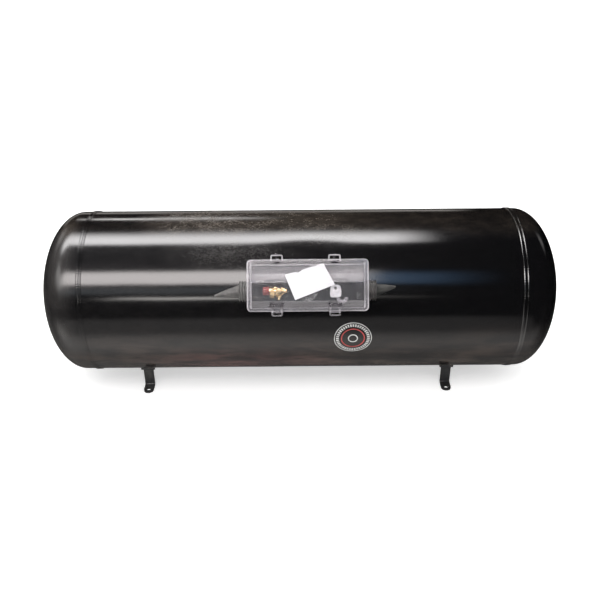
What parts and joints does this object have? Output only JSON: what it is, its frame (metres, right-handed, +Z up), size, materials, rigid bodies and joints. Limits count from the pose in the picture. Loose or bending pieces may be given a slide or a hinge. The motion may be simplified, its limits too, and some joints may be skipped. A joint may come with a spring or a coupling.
{
  "type": "horizontal pressure tank",
  "caption": "Horizontal welded steel gas tank on bent bar feet, with a clear hinged valve box and hose collars on its front.",
  "frame": {"origin": "on the floor, in the middle of the four foot bolt holes", "axes": "+X along the tank, front faces -Y, +Z up"},
  "size_m": [1.02, 0.3752, 0.352],
  "materials": {
    "black_paint": "gloss black paint with dust and smudges",
    "foot_paint": "satin black paint",
    "clear_plastic": "clear moulded plastic",
    "grey_plastic": "dark ribbed plastic",
    "rubber_plug": "dusty grey rubber",
    "brass": "machined brass",
    "red_cap": "red-brown cap",
    "pale_fitting": "pale cast metal",
    "paper": "white folded leaflet"
  },
  "bodies": {
    "tank": {"shell": "black_paint", "head_left": "black_paint", "head_right": "black_paint", "weld_girth_left": "black_paint", "weld_girth_right": "black_paint", "weld_long_seam": "black_paint", "foot_front_left": "foot_paint", "foot_weld_front_left": "foot_paint", "foot_front_right": "foot_paint", "foot_weld_front_right": "foot_paint", "foot_rear_left": "foot_paint", "foot_weld_rear_left": "foot_paint", "foot_rear_right": "foot_paint", "foot_weld_rear_right": "foot_paint", "box_base": "clear_plastic", "hose_collar_left": "grey_plastic", "hose_collar_right": "grey_plastic", "hose_plug_left": "rubber_plug", "hose_plug_right": "rubber_plug", "valve_plate": "black_paint", "filler_valve": "brass", "filler_cap": "red_cap", "level_gauge": "brass", "outlet_valve": "pale_fitting", "outlet_stem": "brass", "vent_elbow": "clear_plastic", "leaflet": "paper"},
    "lid": {"box_lid": "clear_plastic"},
    "clip_left": {"latch_left": "clear_plastic"},
    "clip_right": {"latch_right": "clear_plastic"}
  },
  "joints": [
    {"name": "lid_hinge", "type": "hinge", "parent": "tank", "child": "lid", "pos_m": [0.021, -0.14813, 0.33887], "axis": [-1, 0, 0], "range_deg": [0, 110]},
    {"name": "latch_left_hinge", "type": "hinge", "parent": "lid", "child": "clip_left", "pos_m": [-0.034, -0.2102, 0.27229], "axis": [-1, 0, 0], "range_deg": [0, 80]},
    {"name": "latch_right_hinge", "type": "hinge", "parent": "lid", "child": "clip_right", "pos_m": [0.069, -0.2102, 0.27229], "axis": [-1, 0, 0], "range_deg": [0, 80]}
  ]
}
